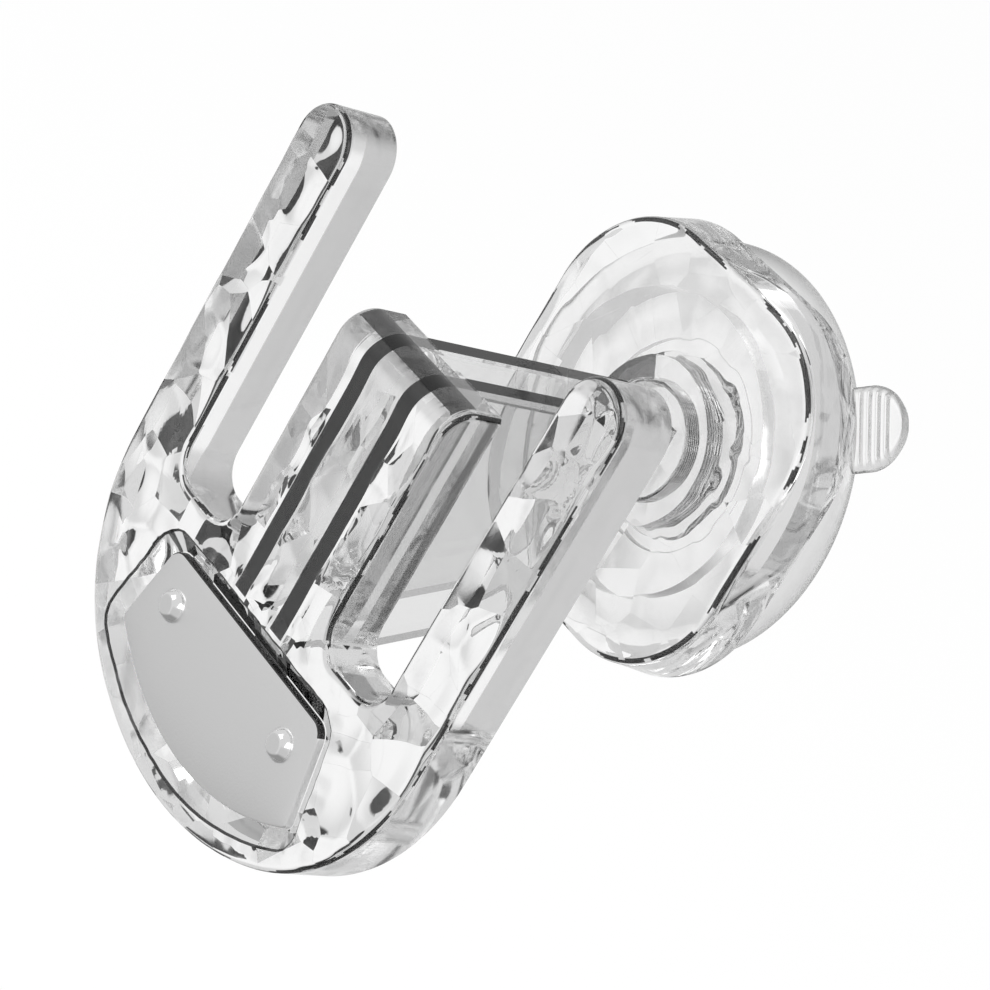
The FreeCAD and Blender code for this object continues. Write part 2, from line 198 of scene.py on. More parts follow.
# Looks
FACET_SCALE = 125.0     # facets to the metre
FACET_FREE = 1.9        # on each side of a rib's middle
FACET_CHOICE = (0.62, 0.64)     # chance below which a facet stays almost flat
FACET_STRENGTH = (0.05, 1.0)
NOISE_REACH = (0.3, 0.7)
FLOOR_SIZE = 3.0
FLOOR_LEVEL = -0.32
FLOOR_TONE = 0.95
FLOOR_GLOW = 0.75       # share of plain white in the floor that the camera sees
LIGHT_BOUNCES = 18      # light crosses many clear walls

# Meshes
STEP = 0.8              # usual spacing of points along an outline
ARM_STEP = 0.9
BEND_STEP = 0.4
TIP_STEP = 0.5
FRONT_GRID = 0.55
FRONT_CLEARANCE = 0.4
LONG_GAP = 1.5
SHADE_LINE_GAP = -0.35        # a lower value leaves fewer gaps in the painted dark lines of shade
SAME_POINT = 0.004
SMOOTH_ANGLE = 30.0     # edges are sharp above this, in degrees
SMALL = 1e-6
FAR = 1e9
SEAM = 0.03     # air left between clear pieces that touch, so that each keeps its own surface


class Skin:
    """Points in millimetres and faces of one mesh."""

    def __init__(self):
        self.points = []
        self.faces = []
        self.marks = []

    def add(self, points):
        start = len(self.points)
        self.points.extend([tuple(p) for p in points])
        return list(range(start, len(self.points)))

    def face(self, indices, mark=0):
        self.faces.append(tuple(indices))
        self.marks.append(mark)

    def strip(self, first, second, closed=False, mark=0):
        count = len(first)
        for i in range(count if closed else count - 1):
            j = (i + 1) % count
            self.face((first[i], first[j], second[j], second[i]), mark)

    def fan(self, ring, point, mark=0):
        centre = self.add([point])[0]
        for i, index in enumerate(ring):
            self.face((index, ring[(i + 1) % len(ring)], centre), mark)


def at(x, depth, z):
    return (x, -depth, z)


def make_object(skin, name, materials, smooth_angle=SMOOTH_ANGLE, merge=0.002):
    """Blender object from a skin: closed, with normals outward and edges sharp above an angle."""
    mesh = bpy.data.meshes.new(name)
    scaled = [(p[0] * MM, p[1] * MM, p[2] * MM) for p in skin.points]
    mesh.from_pydata(scaled, [], skin.faces)
    mesh.polygons.foreach_set("material_index", skin.marks)
    build = bmesh.new()
    build.from_mesh(mesh)
    bmesh.ops.remove_doubles(build, verts=build.verts, dist=merge * MM)
    bmesh.ops.dissolve_degenerate(build, edges=build.edges, dist=merge * MM)
    bmesh.ops.recalc_face_normals(build, faces=build.faces)
    build.to_mesh(mesh)
    build.free()
    for material in materials:
        mesh.materials.append(material)
    obj = bpy.data.objects.new(name, mesh)
    scene.collection.objects.link(obj)
    finish_shading(mesh, smooth_angle)
    return obj


def finish_shading(mesh, smooth_angle):
    """Smooth shading with edges sharp above an angle."""
    mesh.polygons.foreach_set("use_smooth", [True] * len(mesh.polygons))
    mesh.set_sharp_from_angle(angle=math.radians(smooth_angle))
    mesh.update()


def carve(obj, cutters):
    """Cuts closed cutters out of an object and removes them."""
    for cutter in cutters:
        modifier = obj.modifiers.new("cut", "BOOLEAN")
        modifier.operation = "DIFFERENCE"
        modifier.solver = "EXACT"
        modifier.object = cutter
    graph = bpy.context.evaluated_depsgraph_get()
    mesh = bpy.data.meshes.new_from_object(obj.evaluated_get(graph))
    obj.modifiers.clear()
    obj.data = mesh
    for cutter in cutters:
        bpy.data.objects.remove(cutter)
    finish_shading(mesh, SMOOTH_ANGLE)
    return obj


def steps(start, end, spacing):
    """Evenly spaced values from start to just before end."""
    count = max(1, math.ceil(abs(end - start) / spacing))
    return [start + (end - start) * i / count for i in range(count)]


def hammered(x, z, cell, seed, bowl):
    """Height in millimetres over the floors of round dimples that meet in ridges."""
    draw = random.Random(seed)
    dimples = []
    row = 0
    z_place = FIELD_Z[0]
    while z_place < FIELD_Z[1]:
        x_place = FIELD_X[0] + (cell / 2 if row % 2 else 0.0)
        while x_place < FIELD_X[1]:
            dimples.append((x_place + cell * draw.uniform(-DIMPLE_SHIFT, DIMPLE_SHIFT),
                            z_place + cell * draw.uniform(-DIMPLE_SHIFT, DIMPLE_SHIFT),
                            bowl * draw.uniform(*BOWL_SPREAD), draw.uniform(0.0, FLOOR_SPREAD)))
            x_place += cell
        z_place += cell * ROW_PITCH
        row += 1
    dimples = np.array(dimples)
    x = np.asarray(x, float).ravel()
    z = np.asarray(z, float).ravel()
    square = (x[:, None] - dimples[None, :, 0]) ** 2 + (z[:, None] - dimples[None, :, 1]) ** 2
    height = square * dimples[None, :, 2] + dimples[None, :, 3]
    lowest = height.min(axis=1)
    above = height - lowest[:, None]
    return lowest - RIDGE_SOFTNESS * np.log(np.exp(-above / RIDGE_SOFTNESS).sum(axis=1))


def inside(points, loop):
    """Which points lie inside a closed loop, by counting crossings."""
    points = np.asarray(points, float)
    loop = np.asarray(loop, float)
    result = np.zeros(len(points), bool)
    for (ax, az), (bx, bz) in zip(loop, np.roll(loop, -1, axis=0)):
        spans = (az > points[:, 1]) != (bz > points[:, 1])
        if not spans.any():
            continue
        cross = (bx - ax) * (points[:, 1] - az) / (bz - az) + ax
        result ^= spans & (points[:, 0] < cross)
    return result


def nearest_square(rim, x, z):
    """Squared distance of points from the nearest of a row of points."""
    square = np.full(x.size, FAR)
    for px, pz in rim:
        square = np.minimum(square, (x - px) ** 2 + (z - pz) ** 2)
    return square


def distance_from(rim, x, z):
    return np.sqrt(nearest_square(rim, x.ravel(), z.ravel())).reshape(x.shape)


def nearness(rim, x, z, reach):
    """1 at a row of points, falling to 0 at a distance."""
    return np.clip(1.0 - distance_from(rim, x, z) / reach, 0.0, 1.0)


def triangulate(outer, holes=(), spacing=None, clearance=0.6):
    """Triangles of a flat region; the loops' points keep their order at the start."""
    loops = [outer, *holes]
    points = [p for loop in loops for p in loop]
    edges = []
    start = 0
    for loop in loops:
        count = len(loop)
        edges += [(start + i, start + (i + 1) % count) for i in range(count)]
        start += count
    if spacing:
        rim = np.array(points)
        low = rim.min(axis=0)
        high = rim.max(axis=0)
        grid = []
        for j, z in enumerate(np.arange(low[1], high[1], spacing * ROW_PITCH)):
            shift = spacing / 2 if j % 2 else 0.0
            grid += [(x + shift, z) for x in np.arange(low[0], high[0], spacing)]
        grid = np.array(grid)
        keep = inside(grid, outer)
        for hole in holes:
            keep &= ~inside(grid, hole)
        grid = grid[keep]
        near = nearest_square(rim, grid[:, 0], grid[:, 1])
        points = points + [tuple(p) for p in grid[near > clearance ** 2]]
    result = delaunay_2d_cdt([Vector(p) for p in points], edges, [], 0, SMALL)
    coords = np.array([tuple(v) for v in result[0]])
    triangles = np.array([tuple(f) for f in result[2]])
    middles = coords[triangles].mean(axis=1)
    keep = inside(middles, outer)
    for hole in holes:
        keep &= ~inside(middles, hole)
    return coords, triangles[keep]


def fill(skin, loop, depth, mark=0):
    """Flat face within a loop, at a depth."""
    coords, triangles = triangulate(loop)
    placed = skin.add([at(x, depth, z) for x, z in coords])
    for t in triangles:
        skin.face([placed[i] for i in t], mark)


# The front of the fork is laid out flat: x across and s up, where s runs on over the tab's bend.
BEND_START = ARM_TOP - BEND_RADIUS
BEND_END = BEND_START + BEND_RADIUS * math.pi / 2
BEND_DEPTH = PLATE_FRONT - BEND_RADIUS
TAB_END = BEND_END + BEND_DEPTH - PLATE_BACK


def on_fork(x, s, below):
    """Point of the fork a distance below its outer surface."""
    if abs(x) > BESIDE_TAB or s <= BEND_START:
        return at(x, PLATE_FRONT - below, s)
    if s >= BEND_END:
        return at(x, BEND_DEPTH - (s - BEND_END), ARM_TOP - below)
    angle = (s - BEND_START) / BEND_RADIUS
    radius = BEND_RADIUS - below
    return at(x, BEND_DEPTH + radius * math.cos(angle), BEND_START + radius * math.sin(angle))


def fork_ripple(x, s):
    """How deep the hammered face lies below its plane; calm at ribs, bend, pocket and edges."""
    x = np.asarray(x, float)
    s = np.asarray(s, float)
    dimples = RIPPLE_DEPTH - hammered(x, s, RIPPLE_CELL, RIPPLE_SEED, RIPPLE_BOWL)
    relief = np.maximum(dimples, 0.0) - RIDGE_RISE
    from_rib = np.abs(np.abs(x) - RIB_MIDDLE)
    over_rib = np.clip(RIB_CALM_REACH - from_rib / RIB_CALM_FADE, 0.0, RIB_CALM_MOST)
    over_rib *= s > RIB_GROOVE - GROOVE_CALM
    relief += (0.5 * RIPPLE_DEPTH - relief) * over_rib
    below_bend = np.clip((BEND_START - BEND_CALM - s) / BEND_CALM_FADE, 0.0, 1.0)
    relief *= np.where(np.abs(x) < BESIDE_TAB, below_bend, 1.0)
    relief *= 1.0 - POCKET_CALM * nearness(POCKET_WIDE[::3], x, s, POCKET_CALM_REACH)
    edge = [c[:2] for c in EDGE_CHAIN]
    return relief * (1.0 - EDGE_CALM * nearness(edge, x, s, EDGE_CALM_REACH))


def arc_points(cx, cz, radius, start, end, outward, spacing=STEP):
    """Points of an arc with their outward normals; the arc's end is left to what follows."""
    count = max(3, math.ceil(abs(math.radians(end - start)) * radius / spacing))
    made = []
    for i in range(count):
        turn = math.radians(start + (end - start) * i / count)
        nx, nz = math.cos(turn), math.sin(turn)
        made.append((cx + radius * nx, cz + radius * nz, outward * nx, outward * nz))
    return made


def fork_chain():
    """Right half of the outline with outward normals, from the tab's top down to the bottom."""
    prong_inner = HALF_WIDTH - PRONG_WIDTH
    tip_radius = PRONG_WIDTH / 2
    tip_z = TIP_RISE - tip_radius
    low = SLOT_FLOOR + SLOT_RADIUS
    belly_z = BOTTOM + BELLY_RADIUS
    hip_x = HALF_WIDTH - HIP_RADIUS
    hip_z = belly_z - math.sqrt((BELLY_RADIUS - HIP_RADIUS) ** 2 - hip_x ** 2)
    lean = math.degrees(math.atan2(hip_z - belly_z, hip_x))
    tab_side = steps(TAB_END, BEND_END, ARM_STEP) + steps(BEND_END, BEND_START, BEND_STEP)
    tab_side += steps(BEND_START, low, STEP)
    chain = [(TAB_HALF, s, 1.0, 0.0) for s in tab_side]
    chain += arc_points(TAB_HALF + SLOT_RADIUS, low, SLOT_RADIUS, 180, 270, -1)
    floor = steps(TAB_HALF + SLOT_RADIUS, prong_inner - SLOT_RADIUS, STEP)
    chain += [(x, SLOT_FLOOR, 0.0, 1.0) for x in floor]
    chain += arc_points(prong_inner - SLOT_RADIUS, low, SLOT_RADIUS, 270, 360, -1)
    chain += [(prong_inner, z, -1.0, 0.0) for z in steps(low, tip_z, STEP)]
    chain += arc_points(HALF_WIDTH - tip_radius, tip_z, tip_radius, 180, 0, 1, TIP_STEP)
    chain += [(HALF_WIDTH, z, 1.0, 0.0) for z in steps(tip_z, hip_z, STEP)]
    chain += arc_points(hip_x, hip_z, HIP_RADIUS, 0, lean, 1)
    chain += arc_points(0, belly_z, BELLY_RADIUS, lean, -90, 1)
    chain.append((0.0, BOTTOM, 0.0, -1.0))
    return chain


def rounded_loop(corners, radii, margin=0.0):
    """Closed loop, counter-clockwise, with round corners, moved outward by a margin."""
    made = []
    count = len(corners)
    for i in range(count):
        here = Vector(corners[i])
        into = (here - Vector(corners[i - 1])).normalized()
        away = (Vector(corners[(i + 1) % count]) - here).normalized()
        turn = -into.angle_signed(away)
        radius = radii[i]
        start_normal = Vector((into.y, -into.x))
        end_normal = Vector((away.y, -away.x))
        if radius <= 0:
            normal = (start_normal + end_normal).normalized()
            made.append(here + normal * margin)
            continue
        reach = radius * math.tan(abs(turn) / 2)
        centre = here - into * reach - start_normal * radius
        pieces = max(3, math.ceil(abs(turn) * (radius + margin) / STEP))
        for j in range(pieces + 1):
            normal = start_normal.copy()
            normal.rotate(Matrix.Rotation(turn * (j / pieces), 2))
            made.append(centre + normal * (radius + margin))
    return made


def badge_loop(margin):
    """Outline of the badge moved outward by a margin, with dense straight sides."""
    top, low = BADGE_CORNERS
    sag = low[1] - BADGE_BOTTOM
    big = (low[0] ** 2 + sag ** 2) / (2 * sag)
    centre = BADGE_BOTTOM + big
    half = math.asin(low[0] / big)
    corners = [top, (-top[0], top[1]), (-low[0], low[1])]
    radii = [BADGE_RADII[0], BADGE_RADII[0], BADGE_RADII[1]]
    for i in range(1, BADGE_ARC_PIECES):
        angle = -half + 2 * half * i / BADGE_ARC_PIECES
        corners.append((big * math.sin(angle), centre - big * math.cos(angle)))
        radii.append(0.0)
    corners.append(low)
    radii.append(BADGE_RADII[1])
    loop = rounded_loop(corners, radii, margin)
    dense = []
    for i, point in enumerate(loop):
        following = loop[(i + 1) % len(loop)]
        gap = (following - point).length
        count = max(1, round(gap)) if gap > LONG_GAP else 1
        dense += [point.lerp(following, j / count) for j in range(count)]
    return [(p.x, p.y) for p in dense]


def pocket_loops():
    """Low loop round the badge and wide loop on the plate's face, point for point."""
    low = badge_loop(BADGE_GAP)
    places = [Vector(p) for p in low]
    wide = []
    for i, p in enumerate(places):
        along = (places[(i + 1) % len(places)] - places[i - 1]).normalized()
        wide.append(p + Vector((along.y, -along.x)) * POCKET_BEVEL)
    return low, [(p.x, p.y) for p in wide]


right_half = fork_chain()
EDGE_CHAIN = right_half + [(-x, s, -nx, ns) for x, s, nx, ns in reversed(right_half[:-1])]
POCKET_LOW, POCKET_WIDE = pocket_loops()

FRONT, WALL, REAR, PAINTED_SHADE, BEND_SHADE = range(5)     # material places of the fork and the cover; the last two carry painted shade


def broken(i, k):
    """True over uneven stretches of an edge, where its line of painted shade shows dark."""
    waves = math.sin(0.31 * i + 0.8 * k) + math.sin(0.117 * i + 1.7) + 0.6 * math.sin(0.73 * i)
    return waves > SHADE_LINE_GAP


def build_fork(materials):
    """Fork with its arm: side wall, rounded edge, rippled front, badge pocket, back and arm."""
    skin = Skin()
    xs, ss, nxs, nss = np.array(EDGE_CHAIN).T
    back_ring = []
    for x, s in zip(xs, ss):
        z = s
        if abs(x) < BESIDE_TAB and s > BEND_START:
            part = (s - BEND_START) / (TAB_END - BEND_START)
            z = BEND_START + (ARM_TOP - EDGE_RADIUS - WALL_LIP - BEND_START) * part
        back_ring.append(at(x, PLATE_BACK, z))
    rings = [skin.add(back_ring)]
    rings.append(skin.add([on_fork(x, s, EDGE_RADIUS + WALL_LIP) for x, s in zip(xs, ss)]))
    for k in range(EDGE_STEPS + 1):
        turn = math.radians(90.0 * k / EDGE_STEPS)
        inset = EDGE_RADIUS * (1 - math.cos(turn))
        below = EDGE_RADIUS * (1 - math.sin(turn))
        px = xs - nxs * inset
        ps = ss - nss * inset
        drop = fork_ripple(px, ps) * math.sin(turn) ** 3
        rings.append(skin.add([on_fork(x, s, below + d) for x, s, d in zip(px, ps, drop)]))
    # Some steps of the rounded edge carry broken dark lines of painted shade.
    for k, (first, second) in enumerate(zip(rings, rings[1:])):
        for i in range(len(EDGE_CHAIN) - 1):
            dark = k in EDGE_SHADE_RINGS and broken(i, k)
            mark = WALL if k < 2 else (PAINTED_SHADE if dark else FRONT)
            skin.face((first[i], first[i + 1], second[i + 1], second[i]), mark)

    # front face: the last ring, then the tab's rear edge from left to right
    edge_x = TAB_HALF - EDGE_RADIUS
    arm_half = RIB_INNER - ARM_SEAT
    crossing = steps(-edge_x, -arm_half, 1.0)[1:] + [-arm_half, arm_half]
    crossing += steps(arm_half, edge_x, 1.0)[1:]
    outer = [(float(x), float(s)) for x, s in zip(xs - nxs * EDGE_RADIUS, ss - nss * EDGE_RADIUS)]
    outer += [(x, TAB_END) for x in crossing]
    coords, triangles = triangulate(outer, [POCKET_WIDE], FRONT_GRID, FRONT_CLEARANCE)
    drops = fork_ripple(coords[:, 0], coords[:, 1])
    front = skin.add([on_fork(x, s, d) for (x, s), d in zip(coords, drops)])
    # The upper half of the tab's bend gets dark glass, a painted shade.
    bend_low = BEND_START + 0.5 * (BEND_END - BEND_START)
    for t in triangles:
        middle = coords[t].mean(axis=0)
        on_bend = bend_low < middle[1] < BEND_END + 0.2 and abs(middle[0]) < TAB_HALF
        skin.face([front[i] for i in t], BEND_SHADE if on_bend else FRONT)

    # pocket, with a dark line of painted shade round the outer rim of its bevel
    wide = front[len(outer):len(outer) + len(POCKET_WIDE)]
    low = skin.add([at(x, POCKET_FLOOR, z) for x, z in POCKET_LOW])
    wide_points = [Vector(skin.points[i]) for i in wide]
    low_points = [Vector(skin.points[i]) for i in low]
    line = skin.add([w.lerp(p, POCKET_SHADE_LINE) for w, p in zip(wide_points, low_points)])
    skin.strip(wide, line, closed=True, mark=PAINTED_SHADE)
    skin.strip(line, low, closed=True)
    fill(skin, POCKET_LOW, POCKET_FLOOR)

    # back face with the arm's foot left open
    back = [(skin.points[i][0], skin.points[i][2]) for i in rings[0]]
    right_section = [(skin.points[r[0]][0], skin.points[r[0]][2]) for r in reversed(rings[2:])]
    left_section = [(skin.points[r[-1]][0], skin.points[r[-1]][2]) for r in rings[2:]]
    top_right = [(x, ARM_TOP) for x in crossing if x > 0]
    top_left = [(x, ARM_TOP) for x in crossing if x < 0]
    arm_low = ARM_TOP - ARM_THICKNESS
    border = top_right + right_section + back + left_section + top_left
    border += [(-arm_half, arm_low), (arm_half, arm_low)]
    clean = []
    for p in border:
        if not clean or (Vector(p) - Vector(clean[-1])).length > SAME_POINT:
            clean.append(p)
    fill(skin, clean, PLATE_BACK, REAR)

    # arm
    corners = [(arm_half, ARM_TOP), (-arm_half, ARM_TOP), (-arm_half, arm_low), (arm_half, arm_low)]
    near = skin.add([at(x, PLATE_BACK, z) for x, z in corners])
    far = skin.add([at(x, COVER_FRONT + SEAM, z) for x, z in corners])
    skin.strip(near, far, closed=True, mark=REAR)
    skin.face(far, REAR)
    fork = make_object(skin, "hook_fork", materials)
    cutters = [rib_shape(side, GROOVE_AIR, "cutter", materials) for side in (-1, 1)]
    for cutter in cutters:
        polygons = cutter.data.polygons
        polygons.foreach_set("material_index", [REAR] * len(polygons))
    return carve(fork, cutters)


def rib_outline(grow):
    """Side view of a rib, depth and height, from its groove's lower end round the bend."""
    face = PLATE_FRONT - RIB_SKIN + grow
    bend = BEND_RADIUS - RIB_SKIN + grow
    points = [(face, RIB_GROOVE - grow), (face, BEND_START)]
    for i in range(1, RIB_BEND_PIECES + 1):
        turn = math.radians(90 * i / RIB_BEND_PIECES)
        points.append((BEND_DEPTH + bend * math.cos(turn), BEND_START + bend * math.sin(turn)))
    points += [
        (PLATE_BACK - grow, BEND_START + bend),
        (PLATE_BACK - grow, ARM_TOP + grow),
        (RIB_DARK_END, ARM_TOP + grow),
        (COVER_FRONT + SEAM, ARM_TOP + grow),
        (COVER_FRONT + SEAM, RIB_TOE - grow),
        (PLATE_BACK - grow, RIB_HEEL - grow),
        (PLATE_BACK - grow, RIB_GROOVE - grow),
    ]
    return points


def rib_shape(side, grow, name, materials):
    """Rib plate; its front and upper edges are marked 1 and the rest 0."""
    skin = Skin()
    outline = rib_outline(grow)
    dark_end = outline.index((RIB_DARK_END, ARM_TOP + grow))
    inner = side * (RIB_INNER - grow)
    outer = side * (RIB_OUTER + grow)
    first = skin.add([at(inner, d, z) for d, z in outline])
    second = skin.add([at(outer, d, z) for d, z in outline])
    for i in range(len(outline)):
        j = (i + 1) % len(outline)
        skin.face((first[i], first[j], second[j], second[i]), 1 if i < dark_end else 0)
    skin.face(first)
    skin.face(list(reversed(second)))
    return make_object(skin, name, materials, smooth_angle=20.0, merge=0.0005)


def ring_points(radius, depth, count):
    turns = [2 * math.pi * i / count for i in range(count)]
    return [at(radius * math.cos(turn), depth, radius * math.sin(turn)) for turn in turns]


def square_points(half, corner, depth, count):
    """Rounded square sampled by its normals' angle, so that loops of all sizes match."""
    flat = half - corner
    quarter = count // 4
    straight = quarter // 3
    made = []
    for step in range(4):
        side = [(half, -flat + 2 * flat * i / straight) for i in range(straight)]
        for i in range(quarter - straight):
            turn = math.radians(90) * i / (quarter - straight)
            side.append((flat + corner * math.cos(turn), flat + corner * math.sin(turn)))
        cos, sin = math.cos(math.radians(90 * step)), math.sin(math.radians(90 * step))
        made += [at(x * cos - z * sin, depth, x * sin + z * cos) for x, z in side]
    return made


def thread_ring(depth, count, air=0.0):
    """Points round a helical thread with rounded flanks, at a depth."""
    made = []
    for i in range(count):
        angle = 2 * math.pi * i / count
        phase = (depth / THREAD_PITCH - angle / (2 * math.pi)) % 1.0
        wave = 0.5 + 0.5 * math.cos(2 * math.pi * phase)
        crest = min(1.0, max(0.0, THREAD_FLANK * wave - THREAD_ROOT))
        radius = STUD_RADIUS - THREAD_DEPTH * (1 - crest) + air
        made.append(at(radius * math.cos(angle), depth, radius * math.sin(angle)))
    return made


def cover_drop(loop):
    """How deep the cover's rippled face lies at each point; none under the ribs' ends."""
    x = np.array([p[0] for p in loop])
    z = np.array([p[2] for p in loop])
    place = (x + COVER_SHIFT[0], z + COVER_SHIFT[1])
    drop = COVER_RIPPLE - hammered(*place, COVER_CELL, COVER_SEED, COVER_BOWL)
    pad_x = np.clip((np.abs(x) - RIB_OUTER) / PAD_FADE, 0, 1)
    pad_z = np.clip(np.maximum(z - ARM_TOP, RIB_TOE - z) / PAD_FADE, 0, 1)
    return np.maximum(drop, 0) * np.maximum(pad_x, pad_z)


def build_cover(materials):
    """Rounded square with a rippled front, a round hollow behind and a threaded bore."""
    skin = Skin()
    slope = COVER_FLARE / (COVER_FRONT - COVER_BACK)
    edge_start = COVER_FRONT - COVER_EDGE
    back = skin.add(square_points(COVER_HALF + COVER_FLARE, COVER_CORNER + COVER_FLARE,
                                  COVER_BACK + SEAM, COVER_COUNT))
    rings = [back]
    for depth in (edge_start - COVER_LIP, edge_start):
        out = slope * (COVER_FRONT - depth)
        loop = square_points(COVER_HALF + out, COVER_CORNER + out, depth, COVER_COUNT)
        rings.append(skin.add(loop))
    base = slope * COVER_EDGE
    loops = []
    for k in range(1, COVER_EDGE_STEPS + 1):
        turn = math.radians(90 * k / COVER_EDGE_STEPS)
        inset = (COVER_EDGE + base) * (1 - math.cos(turn)) - base
        depth = COVER_FRONT - COVER_EDGE * (1 - math.sin(turn))
        loop = square_points(COVER_HALF - inset, COVER_CORNER - inset, depth, COVER_COUNT)
        loops.append((loop, math.sin(turn) ** 3))
    rim = loops[-1][0]
    for k in range(1, COVER_LAYERS):
        part = 1 - k / COVER_LAYERS
        loops.append(([at(p[0] * part, COVER_FRONT, p[2] * part) for p in rim], 1.0))
    for loop, weight in loops:
        drop = cover_drop(loop) * weight
        rings.append(skin.add([(p[0], p[1] + d, p[2]) for p, d in zip(loop, drop)]))
    # Some steps of the rounded edge carry broken dark lines of painted shade.
    for k, (first, second) in enumerate(zip(rings, rings[1:])):
        for i in range(COVER_COUNT):
            j = (i + 1) % COVER_COUNT
            dark = k in COVER_SHADE_RINGS and broken(i, k)
            mark = WALL if k < 2 else (PAINTED_SHADE if dark else FRONT)
            skin.face((first[i], first[j], second[j], second[i]), mark)
    skin.fan(rings[-1], at(0, COVER_FRONT, 0))

    previous = back
    for radius, depth in ((CAVITY_RADIUS, COVER_BACK + SEAM), (CAVITY_RADIUS, CAVITY_FLOOR),
                          (HUB_RADIUS, CAVITY_FLOOR), (HUB_RADIUS, BORE_MOUTH)):
        ring = skin.add(ring_points(radius, depth, COVER_COUNT))
        skin.strip(previous, ring, closed=True, mark=REAR)
        previous = ring
    depth = BORE_MOUTH
    while depth < BORE_FLOOR + SMALL:
        ring = skin.add(thread_ring(depth, COVER_COUNT, BORE_AIR))
        skin.strip(previous, ring, closed=True, mark=REAR)
        previous = ring
        depth += THREAD_PITCH / THREAD_STEPS
    skin.fan(previous, at(0, BORE_FLOOR, 0), REAR)
    return make_object(skin, "cover_shell", materials)


def build_stud(materials):
    """Threaded stud on its flange; the thread's roots are marked 1 for painted shade."""
    skin = Skin()
    bottom = skin.add(ring_points(FLANGE_RADIUS, FLANGE_BACK + SEAM, ROUND_COUNT))
    previous = skin.add(ring_points(FLANGE_RADIUS, FLANGE_TOP, ROUND_COUNT))
    skin.fan(bottom, at(0, FLANGE_BACK + SEAM, 0))
    skin.strip(bottom, previous, closed=True)
    depth = FLANGE_TOP
    while depth < STUD_TOP + SMALL:
        ring = skin.add(thread_ring(depth, ROUND_COUNT))
        for i in range(ROUND_COUNT):
            j = (i + 1) % ROUND_COUNT
            phase = (depth / THREAD_PITCH - (i + 0.5) / ROUND_COUNT) % 1.0
            mark = 1 if phase < THREAD_DARK else 0
            skin.face((previous[i], previous[j], ring[j], ring[i]), mark)
        previous = ring
        depth += THREAD_PITCH / THREAD_STEPS
    skin.fan(previous, at(0, STUD_TOP, 0))
    return make_object(skin, "threaded_stud", materials)


def build_cup(material):
    skin = Skin()
    rings = [skin.add(ring_points(r, d, ROUND_COUNT)) for r, d in CUP_SECTION]
    skin.fan(rings[0], at(0, CUP_HOLLOW, 0))
    for first, second in zip(rings, rings[1:]):
        skin.strip(first, second, closed=True)
    skin.fan(rings[-1], at(0, CUP_SEAT, 0))
    return make_object(skin, "cup_disc", [material])


def build_pull_tab(material):
    """Ribbed tongue on the cup's edge, with a round end."""
    skin = Skin()
    centre = CUP_RADIUS + PULL_REACH - PULL_HALF
    turn = math.radians(PULL_TURN)
    cos, sin = math.cos(turn), math.sin(turn)
    top_rows = []
    low_rows = []
    for x in np.linspace(*PULL_ENDS, PULL_ROWS):
        over = max(0.0, x - centre)
        half = math.sqrt(max(PULL_LEAST_HALF, PULL_HALF ** 2 - over ** 2))
        height = PULL_THICKNESS
        for i in range(RIDGE_COUNT):
            ridge = RIDGE_START + RIDGE_PITCH * i
            height += RIDGE_HEIGHT * math.exp(-((x - ridge) / RIDGE_HALF) ** 4)
        top = []
        low = []
        for j in range(PULL_LANES):
            across = -1 + 2 * j / (PULL_LANES - 1)
            rim = abs(across) >= PULL_RIM
            rise = height if abs(across) < RIDGE_REACH else PULL_THICKNESS
            if rim:
                rise = PULL_RIM_RISE
            crown = PULL_CROWN[0] + PULL_CROWN[1] * (1 - abs(across) ** 10)
            rise = max(PULL_RIM_LIP, rise * crown)
            z = across * half
            px, pz = x * cos - z * sin, x * sin + z * cos
            top.append(at(px, rise, pz))
            low.append(at(px, PULL_RIM_LIP if rim else PULL_BACK, pz))
        top_rows.append(skin.add(top))
        low_rows.append(skin.add(low))
    for rows in (top_rows, low_rows):
        for first, second in zip(rows, rows[1:]):
            skin.strip(first, second)
    for j in (0, PULL_LANES - 1):
        skin.strip([r[j] for r in top_rows], [r[j] for r in low_rows])
    skin.strip(top_rows[0], low_rows[0])
    skin.strip(top_rows[-1], low_rows[-1])
    return make_object(skin, "pull_tab", [material], smooth_angle=40.0)


def build_badge(materials):
    """Badge plate with a small bevel; edges that face up are marked 1 for painted shade."""
    skin = Skin()
    front = POCKET_FLOOR + BADGE_THICKNESS
    back = POCKET_FLOOR + SEAM
    bow = BADGE_EDGE * BADGE_EDGE_BOW
    levels = [(0.0, back), (0.0, front - BADGE_EDGE), (-bow, front - bow), (-BADGE_EDGE, front)]
    rings = [skin.add([at(x, depth, z) for x, z in badge_loop(margin)]) for margin, depth in levels]
    loop = badge_loop(0.0)
    for first, second in zip(rings, rings[1:]):
        for i in range(len(first)):
            j = (i + 1) % len(first)
            along = Vector(loop[j]) - Vector(loop[i])
            faces_up = along.length > 0 and -along.x / along.length > BADGE_FACES_UP
            skin.face((first[i], first[j], second[j], second[i]), 1 if faces_up else 0)
    for ring, depth in ((rings[0], back), (rings[-1], front)):
        fill(skin, [(skin.points[i][0], skin.points[i][2]) for i in ring], depth)
    return make_object(skin, "badge_plate", materials, smooth_angle=50.0)


